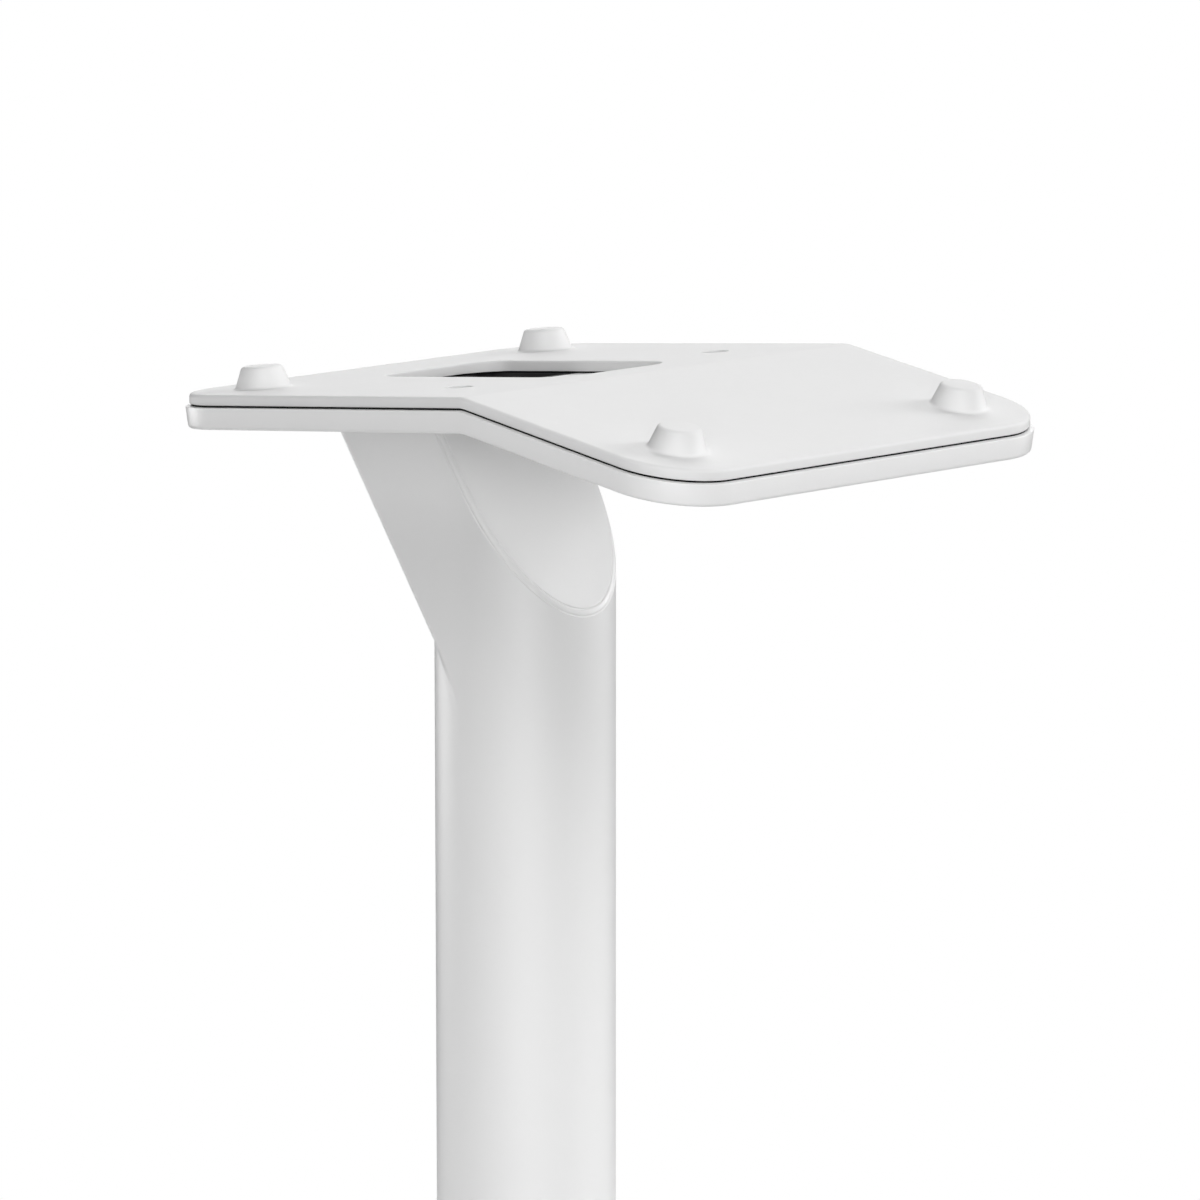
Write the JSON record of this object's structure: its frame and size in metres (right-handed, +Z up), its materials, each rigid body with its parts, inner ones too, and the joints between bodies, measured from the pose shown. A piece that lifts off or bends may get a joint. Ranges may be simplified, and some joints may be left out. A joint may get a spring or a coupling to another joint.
{
  "type": "counter pole stand",
  "caption": "Counter-top pole stand: round pole with an oblique neck, carrying a folded plate with a soft studded pad and an inner cable path.",
  "frame": {"origin": "centre of the underside of the rubber sheet below the base, on the pole's axis", "axes": "+Z up along the pole, -Y to the front where the longer wing of the plate reaches, +X to the right seen from the front"},
  "size_m": [0.2, 0.2178, 0.4179],
  "materials": {
    "powder_coat": "matte white powder coat with a very fine orange peel",
    "silicone": "matte off-white silicone with a fine moulded grain",
    "black_foam": "matte black double-sided tape",
    "black_rubber": "matte black rubber",
    "black_steel": "blackened steel",
    "steel": "zinc-plated steel"
  },
  "bodies": {
    "root": {"device_pad": "silicone", "pad_adhesive": "black_foam", "top_plate": "powder_coat", "entry_grommet": "black_rubber", "neck_flange": "powder_coat", "plate_screw_front_left": "black_steel", "plate_screw_front_right": "black_steel", "plate_screw_rear_left": "black_steel", "plate_screw_rear_right": "black_steel", "neck_cheek_left": "powder_coat", "neck_cheek_right": "powder_coat", "neck_rear_wall": "powder_coat", "neck_front_wall": "powder_coat", "pole_tube": "powder_coat", "exit_grommet": "black_rubber", "foot_plug": "steel", "base_plate": "powder_coat", "foot_bolt_1": "steel", "foot_bolt_2": "steel", "foot_bolt_3": "steel", "foot_bolt_4": "steel", "base_sheet": "black_rubber"}
  },
  "joints": []
}
